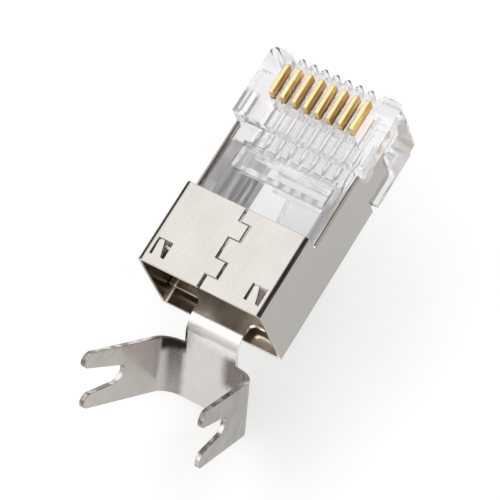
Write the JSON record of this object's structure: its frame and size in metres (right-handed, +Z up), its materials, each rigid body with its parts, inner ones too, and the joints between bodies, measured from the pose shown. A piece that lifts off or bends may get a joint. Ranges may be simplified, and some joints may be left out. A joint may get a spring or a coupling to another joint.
{
  "type": "ethernet modular plug",
  "caption": "Shielded modular network plug with clear nose, gold contact blades, sprung latch, folded metal shield and a forked crimp tail.",
  "frame": {"origin": "on the plug's centreline, where the plane of the nose's front face meets the plane of the nose's underside", "axes": "+X across the plug to the right seen from behind, +Y forward, the way the plug is pushed into its jack, +Z up to the contact side"},
  "size_m": [0.0116, 0.0308, 0.0144],
  "materials": {
    "clear_polycarbonate": "polished clear moulding",
    "nickel_shield": "bright nickel plate on folded sheet",
    "nickel_tail": "bright nickel plate on stamped sheet",
    "gold_contact": "gold plate"
  },
  "bodies": {
    "plug": {"housing": "clear_polycarbonate", "shield_shell": "nickel_shield", "cable_clamp": "nickel_tail", "contact_1": "gold_contact", "contact_2": "gold_contact", "contact_3": "gold_contact", "contact_4": "gold_contact", "contact_5": "gold_contact", "contact_6": "gold_contact", "contact_7": "gold_contact", "contact_8": "gold_contact"},
    "latch": {"locking_latch": "clear_polycarbonate"}
  },
  "joints": [
    {"name": "latch_flex", "type": "hinge", "parent": "plug", "child": "latch", "pos_m": [0, -0.002, -0.00005], "axis": [-1, 0, 0], "range_deg": [0, 13], "stiffness_Nm_per_rad": 0.05}
  ]
}
